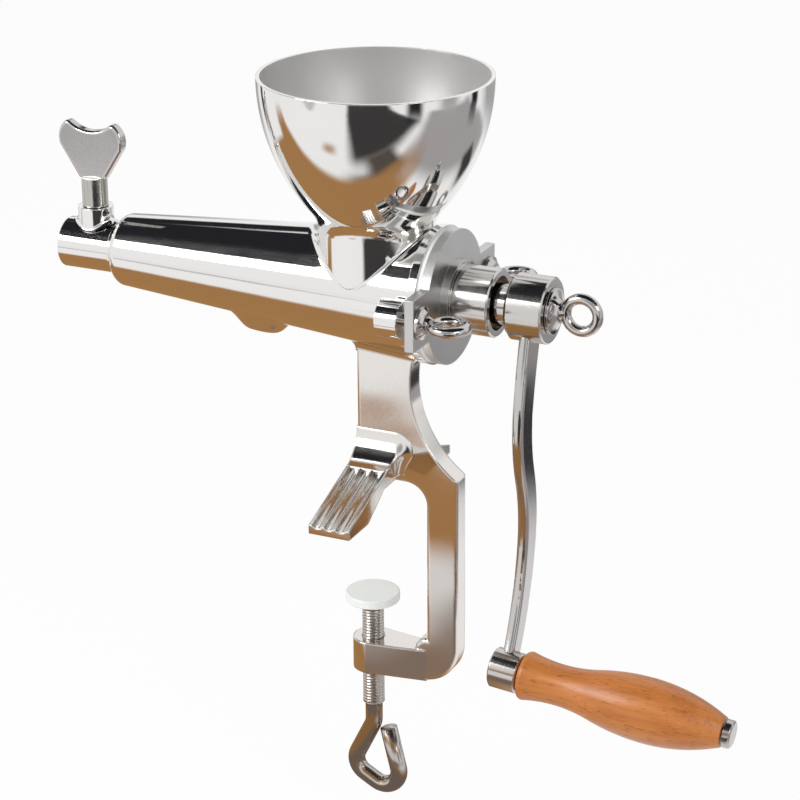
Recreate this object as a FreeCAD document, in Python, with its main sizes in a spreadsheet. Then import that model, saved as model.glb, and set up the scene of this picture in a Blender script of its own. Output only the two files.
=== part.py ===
import FreeCAD, Part
import math
import os

import Sketcher

# A hand-cranked table-top screw press in polished steel. A feed hopper stands on a tapered
# barrel, a press screw turns in the barrel, a bolted end cover carries its bearing, a crank
# with a wooden grip drives it, and a clamp holds the whole on a table's edge.
# Frame: millimetres, Z up. The origin lies on the table top, on the clamp screw's axis.
# X runs along the barrel towards the crank.

doc = FreeCAD.newDocument("screw_press")
sheet = doc.addObject("Spreadsheet::Sheet", "Sizes")
pieces = []


class Size:
    """A length, ratio or angle: its number, and the sheet expression that gives it."""

    def __init__(self, number, text):
        self.number = number
        self.text = text

    def __add__(self, other):
        other = as_size(other)
        return Size(self.number + other.number, "(%s + %s)" % (self.text, other.text))

    def __sub__(self, other):
        other = as_size(other)
        return Size(self.number - other.number, "(%s - %s)" % (self.text, other.text))

    def __mul__(self, other):
        other = as_size(other)
        return Size(self.number * other.number, "(%s * %s)" % (self.text, other.text))

    def __truediv__(self, other):
        other = as_size(other)
        return Size(self.number / other.number, "(%s / %s)" % (self.text, other.text))

    def __neg__(self):
        return Size(-self.number, "(0 - %s)" % self.text)


def as_size(value):
    """Let a plain number stand where a Size is wanted."""
    return value if isinstance(value, Size) else Size(float(value), repr(value))


def root(value):
    """The square root of a Size."""
    return Size(math.sqrt(value.number), "sqrt(%s)" % value.text)


def slope_angle(rise, run):
    """The angle, in degrees, of a slope given by its rise and run."""
    ratio = rise / run
    return Size(math.degrees(math.atan(ratio.number)), "(atan(%s) / 1 deg)" % ratio.text)


def sine(angle):
    """The sine of an angle in degrees."""
    return Size(math.sin(math.radians(angle.number)), "sin(%s * 1 deg)" % angle.text)


def cosine(angle):
    """The cosine of an angle in degrees."""
    return Size(math.cos(math.radians(angle.number)), "cos(%s * 1 deg)" % angle.text)


def dim(name, number):
    """Write one driving dimension in the sheet and give it back as a Size."""
    dim.row += 1
    sheet.set("A%d" % dim.row, name)
    sheet.set("B%d" % dim.row, str(number))
    sheet.setAlias("B%d" % dim.row, name)
    return Size(float(number), "Sizes.%s" % name)


dim.row = 0

# Clearances
running_gap = dim("running_gap", 0.05)
face_gap = dim("face_gap", 0.3)
bolt_gap = dim("bolt_gap", 0.4)

# Barrel
axis_height = dim("axis_height", 115.5)
barrel_left = dim("barrel_left", 147.0)
barrel_right = dim("barrel_right", 36.5)
barrel_small_radius = dim("barrel_small_radius", 19.8)
barrel_large_radius = dim("barrel_large_radius", 33.4)
barrel_wall = dim("barrel_wall", 2.5)
shoulder_round = dim("shoulder_round", 6.0)

# Hopper
hopper_x = dim("hopper_x", 4.4)
rim_rise = dim("rim_rise", 111.2)
rim_radius = dim("rim_radius", 60.0)
bowl_curve = dim("bowl_curve", 106.0)
hopper_wall = dim("hopper_wall", 2.0)
neck_inset = dim("neck_inset", 0.8)
neck_blend = dim("neck_blend", 14.0)

# Outlet nozzle and choke
nozzle_radius = dim("nozzle_radius", 13.7)
nozzle_length = dim("nozzle_length", 33.0)
nozzle_wall = dim("nozzle_wall", 2.2)
bead_height = dim("bead_height", 1.0)
bead_width = dim("bead_width", 2.0)
choke_setback = dim("choke_setback", 16.0)
choke_collar_radius = dim("choke_collar_radius", 9.5)
choke_collar_rise = dim("choke_collar_rise", 22.5)
choke_thread_radius = dim("choke_thread_radius", 5.0)
choke_tip_depth = dim("choke_tip_depth", 4.0)
choke_stem_radius = dim("choke_stem_radius", 7.0)
choke_stem_length = dim("choke_stem_length", 15.5)
wing_foot = dim("wing_foot", 16.0)
wing_height = dim("wing_height", 31.0)
wing_tip_spread = dim("wing_tip_spread", 27.0)
wing_thickness = dim("wing_thickness", 6.5)
wing_shoulder = dim("wing_shoulder", 19.0)
wing_shoulder_rise = dim("wing_shoulder_rise", 17.0)
wing_lobe = dim("wing_lobe", 12.0)
wing_rim_round = dim("wing_rim_round", 1.6)
wing_dip = dim("wing_dip", 20.0)
wing_tip_round = dim("wing_tip_round", 3.0)

# Drain and strainer
drain_x = dim("drain_x", 62.0)
drain_radius = dim("drain_radius", 13.0)
drain_drop = dim("drain_drop", 7.0)
drain_bore = dim("drain_bore", 5.0)
drain_round = dim("drain_round", 4.0)
strainer_length = dim("strainer_length", 50.0)
strainer_wall = dim("strainer_wall", 1.0)
strainer_slot_width = dim("strainer_slot_width", 1.2)
strainer_slot_length = dim("strainer_slot_length", 30.0)

# Flange, cover and bearing
flange_radius = dim("flange_radius", 36.0)
flange_thickness = dim("flange_thickness", 4.5)
gasket_thickness = dim("gasket_thickness", 2.2)
gasket_width = dim("gasket_width", 4.0)
cover_radius = dim("cover_radius", 35.0)
cover_thickness = dim("cover_thickness", 5.0)
ear_reach = dim("ear_reach", 51.0)
ear_height = dim("ear_height", 27.0)
bolt_spread = dim("bolt_spread", 43.0)
boss_radius = dim("boss_radius", 9.5)
boss_length = dim("boss_length", 12.0)
boss_setback = dim("boss_setback", 2.0)
step_radius = dim("step_radius", 20.0)
step_length = dim("step_length", 4.5)
hub_radius = dim("hub_radius", 17.7)
hub_length = dim("hub_length", 20.0)
hub_chamfer = dim("hub_chamfer", 0.8)
hub_recess = dim("hub_recess", 7.0)
hub_recess_radius = dim("hub_recess_radius", 14.0)
shaft_radius = dim("shaft_radius", 10.5)
bush_wall = dim("bush_wall", 2.0)
thrust_thickness = dim("thrust_thickness", 2.0)
thrust_width = dim("thrust_width", 8.0)

# Press screw
core_small_radius = dim("core_small_radius", 8.0)
core_large_radius = dim("core_large_radius", 16.0)
flight_gap = dim("flight_gap", 0.8)
flight_pitch = dim("flight_pitch", 24.0)
flight_thickness = dim("flight_thickness", 4.0)
screw_tip_gap = dim("screw_tip_gap", 6.0)

# Crank
boss_gap = dim("boss_gap", 8.2)
crank_boss_length = dim("crank_boss_length", 20.3)
crank_boss_radius = dim("crank_boss_radius", 17.2)
crank_boss_chamfer = dim("crank_boss_chamfer", 1.6)
crank_end_wall = dim("crank_end_wall", 4.0)
crank_angle = dim("crank_angle", 8.5)
crank_radius = dim("crank_radius", 192.0)
arm_thickness = dim("arm_thickness", 6.0)
arm_top_width = dim("arm_top_width", 18.0)
arm_foot_width = dim("arm_foot_width", 12.5)
arm_sway = dim("arm_sway", 4.8)
arm_sway_at = dim("arm_sway_at", 50.0)
arm_cross_at = dim("arm_cross_at", 88.0)
arm_swell_at = dim("arm_swell_at", 127.0)
arm_lean = dim("arm_lean", 27.0)
arm_round = dim("arm_round", 2.4)
grip_droop = dim("grip_droop", 4.5)
grip_boss_radius = dim("grip_boss_radius", 10.7)
grip_boss_length = dim("grip_boss_length", 15.5)
grip_boss_chamfer = dim("grip_boss_chamfer", 0.8)

# Wooden grip and its pin
grip_gap = dim("grip_gap", 0.8)
grip_length = dim("grip_length", 109.5)
grip_end_radius = dim("grip_end_radius", 13.6)
grip_waist_at = dim("grip_waist_at", 20.5)
grip_waist_radius = dim("grip_waist_radius", 10.8)
grip_belly_at = dim("grip_belly_at", 69.0)
grip_belly_radius = dim("grip_belly_radius", 16.9)
grip_tip_radius = dim("grip_tip_radius", 7.9)
grip_edge_round = dim("grip_edge_round", 2.6)
pin_radius = dim("pin_radius", 4.0)
pin_head_radius = dim("pin_head_radius", 7.4)
pin_head_length = dim("pin_head_length", 4.0)
pin_head_gap = dim("pin_head_gap", 1.2)
pin_head_round = dim("pin_head_round", 1.5)
pin_in_boss = dim("pin_in_boss", 11.0)

# Eye bolts and their dished washers
bolt_radius = dim("bolt_radius", 4.0)
bolt_length = dim("bolt_length", 18.0)
eye_radius = dim("eye_radius", 8.5)
eye_wire = dim("eye_wire", 2.8)
eye_at = dim("eye_at", 15.7)
washer_radius = dim("washer_radius", 12.0)
washer_neck_radius = dim("washer_neck_radius", 5.6)
washer_rim = dim("washer_rim", 1.6)
washer_height = dim("washer_height", 4.6)
washer_flare = dim("washer_flare", 9.0)
small_washer_radius = dim("small_washer_radius", 8.5)
small_washer_height = dim("small_washer_height", 3.6)

# Table clamp
leg_thickness = dim("leg_thickness", 12.0)
leg_left = dim("leg_left", 5.5)
leg_sink = dim("leg_sink", 26.0)
leg_waist_x = dim("leg_waist_x", 25.4)
leg_waist_drop = dim("leg_waist_drop", 49.5)
leg_curve = dim("leg_curve", 60.8)
leg_round = dim("leg_round", 2.0)
column_inside = dim("column_inside", 34.3)
column_width = dim("column_width", 18.0)
throat_round = dim("throat_round", 12.0)
throat_top = dim("throat_top", 10.5)
jaw_arm_top = dim("jaw_arm_top", 86.0)
jaw_arm_height = dim("jaw_arm_height", 18.0)
jaw_inner_round = dim("jaw_inner_round", 7.0)
jaw_outer_round = dim("jaw_outer_round", 21.0)
jaw_boss_radius = dim("jaw_boss_radius", 11.0)
toe_width = dim("toe_width", 23.0)
toe_reach = dim("toe_reach", 63.5)
toe_tip_height = dim("toe_tip_height", 5.0)
toe_root_height = dim("toe_root_height", 25.0)
toe_sole = dim("toe_sole", 22.5)
toe_arch_span = dim("toe_arch_span", 21.0)
toe_arch_height = dim("toe_arch_height", 12.0)
flute_radius = dim("flute_radius", 4.2)
flute_depth = dim("flute_depth", 1.3)
flute_spacing = dim("flute_spacing", 6.6)

# Clamp screw and pad
clamp_thread_radius = dim("clamp_thread_radius", 6.0)
clamp_thread_length = dim("clamp_thread_length", 59.0)
clamp_rod_radius = dim("clamp_rod_radius", 4.75)
clamp_tip_radius = dim("clamp_tip_radius", 3.0)
clamp_tip_length = dim("clamp_tip_length", 3.5)
pad_drop = dim("pad_drop", 59.0)
pad_radius = dim("pad_radius", 14.7)
pad_thickness = dim("pad_thickness", 5.0)
pad_lift = dim("pad_lift", 4.0)
pad_round = dim("pad_round", 0.8)
loop_start = dim("loop_start", 12.0)
loop_left = dim("loop_left", 14.0)
loop_left_drop = dim("loop_left_drop", 41.0)
loop_right = dim("loop_right", 19.5)
loop_right_drop = dim("loop_right_drop", 59.0)
loop_end_x = dim("loop_end_x", 8.8)
loop_end_drop = dim("loop_end_drop", 14.0)
loop_bend = dim("loop_bend", 12.0)
loop_corner = dim("loop_corner", 9.5)

# Counts, the flight's hidden root as a share of the core, and what counts as no length at all
SLOT_PAIRS = 6
FLUTES = 3
FLIGHT_ROOT_SHARE = 8
SMALL = 0.01

# Places worked out from the driving dimensions
flange_face = barrel_right + flange_thickness
cover_back = flange_face + gasket_thickness
cover_face = cover_back + cover_thickness
step_face = cover_face + step_length
hub_end = step_face + hub_length
crank_boss_start = hub_end + boss_gap
crank_boss_end = crank_boss_start + crank_boss_length
barrel_taper = (barrel_large_radius - barrel_small_radius) / (barrel_left + barrel_right)
bush_radius = shaft_radius + bush_wall
column_outside = column_inside + column_width
leg_waist_height = axis_height - leg_waist_drop
choke_x = -(barrel_left + choke_setback)


def barrel_radius_at(x):
    """The barrel's outer radius at a place along its axis."""
    return barrel_small_radius + barrel_taper * (barrel_left + x)


neck_radius = barrel_radius_at(hopper_x) - neck_inset
neck_bore = neck_radius - hopper_wall


def bind(thing, prop, value):
    """Bind one property to a Size."""
    thing.setExpression(prop, as_size(value).text)


def put(thing, x=0, y=0, z=0):
    """Bind the place of an object."""
    for letter, value in (("x", x), ("y", y), ("z", z)):
        if isinstance(value, Size):
            bind(thing, "Placement.Base.%s" % letter, value)


def turn(thing, axis, angle):
    """Turn an object about an axis through its place, by an angle bound to the sheet."""
    angle = as_size(angle)
    spin = FreeCAD.Rotation(FreeCAD.Vector(*axis), angle.number)
    thing.Placement = FreeCAD.Placement(thing.Placement.Base, spin)
    bind(thing, "Placement.Rotation.Angle", angle)


def new_body(name, x=0, y=0, z=0):
    """An empty body at a place bound to the sheet."""
    body = doc.addObject("PartDesign::Body", name)
    put(body, x, y, z)
    return body


def new_sketch(body, name, plane, lift=None):
    """A sketch on one of the body's own origin planes, lifted off it along its normal."""
    sketch = body.newObject("Sketcher::SketchObject", name)
    support = [part for part in body.Origin.OriginFeatures if part.Role == plane][0]
    sketch.AttachmentSupport = [(support, "")]
    sketch.MapMode = "FlatFace"
    if lift is not None:
        bind(sketch, "AttachmentOffset.Base.z", lift)
    return sketch


def tie_point(sketch, edge, end, x, y):
    """Hold a point of a sketch at a place bound to the sheet."""
    for value, kind, axis in ((x, "DistanceX", -2), (y, "DistanceY", -1)):
        if not isinstance(value, Size):
            sketch.addConstraint(Sketcher.Constraint("PointOnObject", edge, end, axis))
            continue
        tie = sketch.addConstraint(Sketcher.Constraint(kind, -1, 1, edge, end, value.number))
        bind(sketch, "Constraints[%d]" % tie, value)


def add_edge(sketch, start, end, bow):
    """Draw a line, or an arc of a given radius that bows to the left (1) or the right (-1)."""
    first = FreeCAD.Vector(as_size(start[0]).number, as_size(start[1]).number, 0)
    last = FreeCAD.Vector(as_size(end[0]).number, as_size(end[1]).number, 0)
    if bow is None:
        return sketch.addGeometry(Part.LineSegment(first, last)), 1, 2
    radius, side = bow
    chord = last - first
    left = FreeCAD.Vector(-chord.y, chord.x, 0).normalize()
    reach = math.sqrt(max(radius.number ** 2 - (chord.Length / 2) ** 2, 0))
    centre = (first + last) / 2 - left * (side * reach)
    angles = [math.atan2(point.y - centre.y, point.x - centre.x) for point in (first, last)]
    if side > 0:
        angles.reverse()
    if angles[1] < angles[0]:
        angles[1] += 2 * math.pi
    circle = Part.Circle(centre, FreeCAD.Vector(0, 0, 1), radius.number)
    edge = sketch.addGeometry(Part.ArcOfCircle(circle, angles[0], angles[1]))
    tie = sketch.addConstraint(Sketcher.Constraint("Radius", edge, radius.number))
    bind(sketch, "Constraints[%d]" % tie, radius)
    return (edge, 2, 1) if side > 0 else (edge, 1, 2)


def draw(sketch, corners, closed=True):
    """Draw an outline through corners (x, y) or (x, y, bow of the edge that leaves it)."""
    drawn = []
    count = len(corners) if closed else len(corners) - 1
    for number in range(count):
        corner = corners[number]
        following = corners[(number + 1) % len(corners)]
        bow = corner[2] if len(corner) > 2 else None
        drawn.append(add_edge(sketch, corner, following, bow))
    for number, (edge, start, end) in enumerate(drawn):
        tie_point(sketch, edge, start, corners[number][0], corners[number][1])
        if closed or number + 1 < count:
            after = drawn[(number + 1) % len(drawn)]
            sketch.addConstraint(Sketcher.Constraint("Coincident", edge, end, after[0], after[1]))
        else:
            tie_point(sketch, edge, end, corners[-1][0], corners[-1][1])


def draw_circle(sketch, x, y, radius):
    """Draw a circle held at a place bound to the sheet."""
    centre = FreeCAD.Vector(as_size(x).number, as_size(y).number, 0)
    circle = Part.Circle(centre, FreeCAD.Vector(0, 0, 1), radius.number)
    edge = sketch.addGeometry(circle)
    tie = sketch.addConstraint(Sketcher.Constraint("Radius", edge, radius.number))
    bind(sketch, "Constraints[%d]" % tie, radius)
    tie_point(sketch, edge, 3, x, y)


def revolve(body, name, corners, axis):
    """Turn an outline on the body's XZ plane about that sketch's own axis."""
    sketch = new_sketch(body, name + "_outline", "XZ_Plane")
    draw(sketch, corners)
    feature = body.newObject("PartDesign::Revolution", name + "_turned")
    feature.Profile = sketch
    feature.ReferenceAxis = (sketch, [axis])
    feature.Angle = 360
    return feature


def turned_x(name, corners, x=0, y=0, z=axis_height):
    """A turned piece on an axis along X: corners are (place along the axis, radius)."""
    body = new_body(name, x, y, z)
    revolve(body, name, corners, "H_Axis")
    return body


def turned_z(name, corners, x=0, y=0, z=0):
    """A turned piece on an upright axis: corners are (radius, height)."""
    body = new_body(name, x, y, z)
    revolve(body, name, corners, "V_Axis")
    return body


def pad(body, name, plane, corners, length, lift=None, holes=()):
    """Pad an outline with holes by a length along its plane's normal."""
    sketch = new_sketch(body, name + "_outline", plane, lift)
    draw(sketch, corners)
    for x, y, radius in holes:
        draw_circle(sketch, x, y, radius)
    feature = body.newObject("PartDesign::Pad", name + "_pad")
    feature.Profile = sketch
    bind(feature, "Length", length)
    return feature


def round_edges(body, name, feature, radius, wanted):
    """Fillet those edges of a feature that a test picks out."""
    doc.recompute()
    edges = feature.Shape.Edges
    names = ["Edge%d" % (number + 1) for number, edge in enumerate(edges) if wanted(edge)]
    fillet = body.newObject("PartDesign::Fillet", name + "_round")
    fillet.Base = (feature, names)
    bind(fillet, "Radius", radius)
    return fillet


def cylinder(name, radius, length, x=0, y=0, z=0, axis=None, angle=90):
    """A plain cylinder, upright unless it is turned about an axis through its foot."""
    tool = doc.addObject("Part::Cylinder", name)
    bind(tool, "Radius", radius)
    bind(tool, "Height", length)
    put(tool, x, y, z)
    if axis is not None:
        turn(tool, axis, angle)
    return tool


def cylinder_x(name, radius, length, x, y=0):
    """A plain cylinder along X, level with the barrel's axis."""
    return cylinder(name, radius, length, x, y, axis_height, (0, 1, 0))


def ring_x(name, inner, outer, start, end):
    """A plain ring on the barrel's axis."""
    return turned_x(name, [(start, inner), (start, outer), (end, outer), (end, inner)])


def bend(before, corner, after, radius):
    """Where a bend of a given radius enters and leaves a corner of a path, and its side."""
    ways = []
    for point in (before, after):
        run, rise = point[0] - corner[0], point[1] - corner[1]
        length = root(run * run + rise * rise)
        ways.append((run / length, rise / length))
    along = ways[0][0] * ways[1][0] + ways[0][1] * ways[1][1]
    reach = radius * root((as_size(1) + along) / (as_size(1) - along))
    enter, leave = [(corner[0] + way[0] * reach, corner[1] + way[1] * reach) for way in ways]
    turn_left = ways[0][1].number * ways[1][0].number - ways[0][0].number * ways[1][1].number
    return enter, leave, -1 if turn_left > 0 else 1


def bind_place(thing, x, z, tail=""):
    """Place an object on the crank: at a place along the shaft, turned by the crank's angle."""
    spin = "rotation(vector(1; 0; 0); 0 - %s)" % crank_angle.text
    place = "placement(vector(%s; 0; %s); %s)" % (x.text, z.text, spin)
    thing.setExpression("Placement", place + tail)


def place_on_grip(thing):
    """Place an object on the grip's axis, at the foot of the crank arm."""
    droop = "rotation(vector(0; 1; 0); %s)" % grip_droop.text
    tail = " * placement(vector(0; 0; 0 - %s); %s)" % (crank_radius.text, droop)
    bind_place(thing, crank_boss_start + crank_boss_length / 2, axis_height, tail)


def is_level(edge, height):
    """Whether an edge lies flat at a height of its own body."""
    box = edge.BoundBox
    return abs(box.ZMin - height) < SMALL and abs(box.ZMax - height) < SMALL


def is_along_y(edge):
    """Whether an edge runs straight along Y."""
    box = edge.BoundBox
    return box.XLength < SMALL and box.ZLength < SMALL


def is_arc_across_x(edge):
    """Whether an edge is an arc that lies square to X."""
    return edge.BoundBox.XLength < SMALL and edge.Curve.TypeId == "Part::GeomCircle"


def is_left_edge(edge):
    """Whether an edge of the clamp's plate is one of the leg's two left-hand edges."""
    box = edge.BoundBox
    return box.YLength < SMALL and box.XMax < -SMALL


def cut(name, base, tools):
    """Cut tools, one after the other, out of a base."""
    for number, tool in enumerate(tools):
        step = doc.addObject("Part::Cut", "%s_cut_%d" % (name, number + 1))
        step.Base = base
        step.Tool = tool
        base = step
    return base


def fuse(name, shapes):
    """Join shapes into one solid."""
    joined = doc.addObject("Part::MultiFuse", name)
    joined.Shapes = shapes
    return joined


def keep(label, thing):
    """List an object as a piece of the press under its own label."""
    thing.Label = label
    pieces.append(thing)


# Barrel: outer form, bore, feed hole and drain hole
shoulder_x = shoulder_round - barrel_left
barrel_form = turned_x("barrel_form", [
    (-barrel_left, 0),
    (-barrel_left, barrel_small_radius - shoulder_round, (shoulder_round, 1)),
    (shoulder_x, barrel_small_radius),
    (barrel_right, barrel_large_radius),
    (barrel_right, 0),
])
bore_left = barrel_wall - barrel_left
bore_small = barrel_radius_at(bore_left) - barrel_wall
bore_large = barrel_large_radius - barrel_wall
barrel_bore = turned_x("barrel_bore", [
    (bore_left, 0),
    (bore_left, bore_small),
    (barrel_right + face_gap, bore_large + barrel_taper * face_gap),
    (barrel_right + face_gap, 0),
])
nozzle_seat = cylinder_x("nozzle_seat", nozzle_radius, barrel_wall * 2, -(barrel_left + barrel_wall))
feed_hole = cylinder("feed_hole", neck_bore, barrel_large_radius * 2, hopper_x, 0, axis_height)
drain_hole = cylinder("drain_hole", drain_bore, barrel_large_radius * 2, -drain_x, 0,
                      axis_height - barrel_large_radius * 2)
keep("barrel", cut("barrel", barrel_form, [barrel_bore, nozzle_seat, feed_hole, drain_hole]))

# Hopper: bowl and neck, cut to sit on the barrel
neck_run = neck_radius + bowl_curve - rim_radius
neck_top_drop = root(bowl_curve * bowl_curve - neck_run * neck_run)
bowl_inner = bowl_curve - hopper_wall
inner_run = neck_bore + bowl_curve - rim_radius
inner_drop = root(bowl_inner * bowl_inner - inner_run * inner_run)
rim_height = axis_height + rim_rise
hopper_form = new_body("hopper_form", hopper_x, 0, rim_height)
hopper_turned = revolve(hopper_form, "hopper_form", [
    (0, 0),
    (rim_radius, 0, (bowl_curve, 1)),
    (neck_radius, -neck_top_drop),
    (neck_radius, -rim_rise),
    (0, -rim_rise),
], "V_Axis")
round_edges(hopper_form, "hopper_form", hopper_turned, neck_blend,
            lambda edge: is_level(edge, -neck_top_drop.number))
hopper_hollow = new_body("hopper_hollow", hopper_x, 0, rim_height)
hollow_turned = revolve(hopper_hollow, "hopper_hollow", [
    (0, face_gap),
    (rim_radius - hopper_wall, face_gap),
    (rim_radius - hopper_wall, 0, (bowl_inner, 1)),
    (neck_bore, -inner_drop),
    (neck_bore, -rim_rise),
    (0, -rim_rise),
], "V_Axis")
round_edges(hopper_hollow, "hopper_hollow", hollow_turned, neck_blend + hopper_wall,
            lambda edge: is_level(edge, -inner_drop.number))
keep("hopper", cut("hopper", hopper_form, [barrel_form, hopper_hollow]))

# Outlet nozzle with a bead where it meets the barrel, and the choke's threaded collar
nozzle_bore = nozzle_radius - nozzle_wall
nozzle_end = -(barrel_left + nozzle_length)
nozzle_tube = turned_x("nozzle_tube", [
    (nozzle_end, nozzle_bore),
    (nozzle_end, nozzle_radius),
    (-(barrel_left + bead_width), nozzle_radius),
    (-(barrel_left + bead_width), nozzle_radius + bead_height),
    (-barrel_left, nozzle_radius + bead_height),
    (-barrel_left, nozzle_radius),
    (bore_left, nozzle_radius),
    (bore_left, nozzle_bore),
])
choke_hole = cylinder("choke_hole", choke_thread_radius + running_gap, nozzle_radius * 4, choke_x, 0,
                      axis_height)
keep("outlet_nozzle", cut("outlet_nozzle", nozzle_tube, [choke_hole]))
choke_collar = cylinder("choke_collar", choke_collar_radius, choke_collar_rise, choke_x, 0, axis_height)
nozzle_form = cylinder_x("nozzle_form", nozzle_radius, nozzle_length * 2, nozzle_end - nozzle_length)
keep("choke_boss", cut("choke_boss", choke_collar, [nozzle_form, choke_hole]))

# Choke screw and its heart-shaped thumb plate
stem_start = choke_collar_rise + face_gap
stem_end = stem_start + choke_stem_length
keep("choke_screw", turned_z("choke_screw", [
    (0, nozzle_bore - choke_tip_depth),
    (choke_thread_radius, nozzle_bore - choke_tip_depth),
    (choke_thread_radius, stem_start),
    (choke_stem_radius, stem_start),
    (choke_stem_radius, stem_end),
    (0, stem_end),
], choke_x, 0, axis_height))
wing = new_body("choke_wing", choke_x, 0, axis_height + stem_end)
wing_plate = pad(wing, "choke_wing", "XZ_Plane", [
    (-wing_foot / 2, 0),
    (wing_foot / 2, 0),
    (wing_shoulder, wing_shoulder_rise, (wing_lobe, -1)),
    (wing_tip_spread / 2, wing_height, (wing_dip, 1)),
    (-wing_tip_spread / 2, wing_height, (wing_lobe, -1)),
    (-wing_shoulder, wing_shoulder_rise),
], wing_thickness, -wing_thickness / 2)
wing_tips = round_edges(wing, "choke_wing_tips", wing_plate, wing_tip_round,
                        lambda edge: is_along_y(edge) and edge.BoundBox.ZMin > SMALL)
round_edges(wing, "choke_wing_rim", wing_tips, wing_rim_round,
            lambda edge: edge.BoundBox.YLength < SMALL and edge.BoundBox.ZMax > wing_foot.number / 2)
keep("choke_wing", wing)

# Drain spout under the barrel, and the slotted strainer sleeve over it
drain_level = barrel_radius_at(-drain_x)
drain_top = drain_level - drain_drop
drain_foot = drain_level + drain_drop
drain_form = turned_z("drain_form", [
    (drain_bore, -drain_top),
    (drain_bore, -drain_foot),
    (drain_radius - drain_round, -drain_foot, (drain_round, -1)),
    (drain_radius, -(drain_foot - drain_round)),
    (drain_radius, -drain_top),
], -drain_x, 0, axis_height)
keep("juice_drain", cut("juice_drain", drain_form, [barrel_form]))
strainer_start = -(drain_x + strainer_length / 2)
strainer_end = strainer_length / 2 - drain_x
strainer = new_body("strainer", 0, 0, axis_height)
revolve(strainer, "strainer", [
    (strainer_start, barrel_radius_at(strainer_start) - barrel_wall - strainer_wall),
    (strainer_start, barrel_radius_at(strainer_start) - barrel_wall - running_gap),
    (strainer_end, barrel_radius_at(strainer_end) - barrel_wall - running_gap),
    (strainer_end, barrel_radius_at(strainer_end) - barrel_wall - strainer_wall),
], "H_Axis")
slot_sketch = new_sketch(strainer, "strainer_slot_outline", "XY_Plane")
slot_left = -(drain_x + strainer_slot_length / 2)
slot_right = strainer_slot_length / 2 - drain_x
draw(slot_sketch, [
    (slot_left, -strainer_slot_width / 2),
    (slot_right, -strainer_slot_width / 2),
    (slot_right, strainer_slot_width / 2),
    (slot_left, strainer_slot_width / 2),
])
slot = strainer.newObject("PartDesign::Pocket", "strainer_slot")
slot.Profile = slot_sketch
slot.SideType = "Symmetric"
bind(slot, "Length", barrel_large_radius * 4)
doc.recompute()
slots = strainer.newObject("PartDesign::PolarPattern", "strainer_slots")
slots.Originals = [slot]
slots.Axis = (slot_sketch, ["H_Axis"])
slots.Angle = 180 - 180 / SLOT_PAIRS
slots.Occurrences = SLOT_PAIRS
strainer.Tip = slots
keep("strainer", strainer)

# Flange at the barrel's large end, the bosses that take the cover's bolts, gasket and cover
keep("barrel_flange", ring_x("barrel_flange", bore_large, flange_radius, barrel_right, flange_face))
boss_start = flange_face - boss_setback - boss_length
flange_form = cylinder_x("flange_form", flange_radius, flange_thickness, barrel_right)
bosses = []
for side, spread in (("front", -bolt_spread), ("back", bolt_spread)):
    boss_form = cylinder_x(side + "_boss_form", boss_radius, boss_length, boss_start, spread)
    boss_hole = cylinder_x(side + "_boss_hole", bolt_radius + running_gap, boss_length * 2,
                           boss_start - boss_length / 2, spread)
    bosses.append(cut(side + "_boss", boss_form, [flange_form, barrel_form, boss_hole]))
boss_pair = doc.addObject("Part::Compound", "boss_pair")
boss_pair.Links = bosses
keep("cover_bolt_bosses", boss_pair)
gasket_bore = cover_radius - gasket_width
keep("cover_gasket", ring_x("cover_gasket", gasket_bore, cover_radius, flange_face, cover_back))
ear_z = ear_height / 2
ear_y = root(cover_radius * cover_radius - ear_z * ear_z)
cover = new_body("end_cover", 0, 0, axis_height)
pad(cover, "end_cover", "YZ_Plane", [
    (ear_reach, -ear_z),
    (ear_reach, ear_z),
    (ear_y, ear_z, (cover_radius, -1)),
    (-ear_y, ear_z),
    (-ear_reach, ear_z),
    (-ear_reach, -ear_z),
    (-ear_y, -ear_z, (cover_radius, -1)),
    (ear_y, -ear_z),
], cover_thickness, cover_back, [
    (0, 0, bush_radius),
    (bolt_spread, 0, bolt_radius + bolt_gap),
    (-bolt_spread, 0, bolt_radius + bolt_gap),
])
keep("end_cover", cover)

# Bearing housing on the cover, its bush and the thrust washer behind the cover
recess_floor = hub_end - hub_recess
keep("bearing_housing", turned_x("bearing_housing", [
    (cover_face, bush_radius),
    (cover_face, step_radius),
    (step_face, step_radius),
    (step_face, hub_radius),
    (hub_end - hub_chamfer, hub_radius),
    (hub_end, hub_radius - hub_chamfer),
    (hub_end, hub_recess_radius),
    (recess_floor, hub_recess_radius),
    (recess_floor, bush_radius),
]))
keep("shaft_bush", ring_x("shaft_bush", shaft_radius + running_gap, bush_radius, cover_back, recess_floor))
thrust_start = cover_back - thrust_thickness
keep("thrust_washer", ring_x("thrust_washer", shaft_radius + bolt_gap, shaft_radius + thrust_width,
                             thrust_start, cover_back))

# Press screw: a tapered core with a helical flight, and the shaft that carries the crank
screw_tip = bore_left + screw_tip_gap
screw_shoulder = thrust_start - face_gap
shaft_end = crank_boss_end - crank_end_wall
thread_depth = bolt_length - crank_end_wall + face_gap
screw = new_body("press_screw", 0, 0, axis_height)
revolve(screw, "press_screw", [
    (screw_tip, 0),
    (screw_tip, core_small_radius),
    (screw_shoulder, core_large_radius),
    (screw_shoulder, shaft_radius),
    (shaft_end, shaft_radius),
    (shaft_end, bolt_radius + running_gap),
    (shaft_end - thread_depth, bolt_radius + running_gap),
    (shaft_end - thread_depth, 0),
], "H_Axis")
doc.recompute()
flight_radius = barrel_radius_at(screw_tip) - barrel_wall - strainer_wall - flight_gap
flight_sketch = new_sketch(screw, "flight_outline", "XZ_Plane")
draw(flight_sketch, [
    (screw_tip, core_small_radius / FLIGHT_ROOT_SHARE),
    (screw_tip, flight_radius),
    (screw_tip + flight_thickness, flight_radius),
    (screw_tip + flight_thickness, core_small_radius / FLIGHT_ROOT_SHARE),
])
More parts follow.
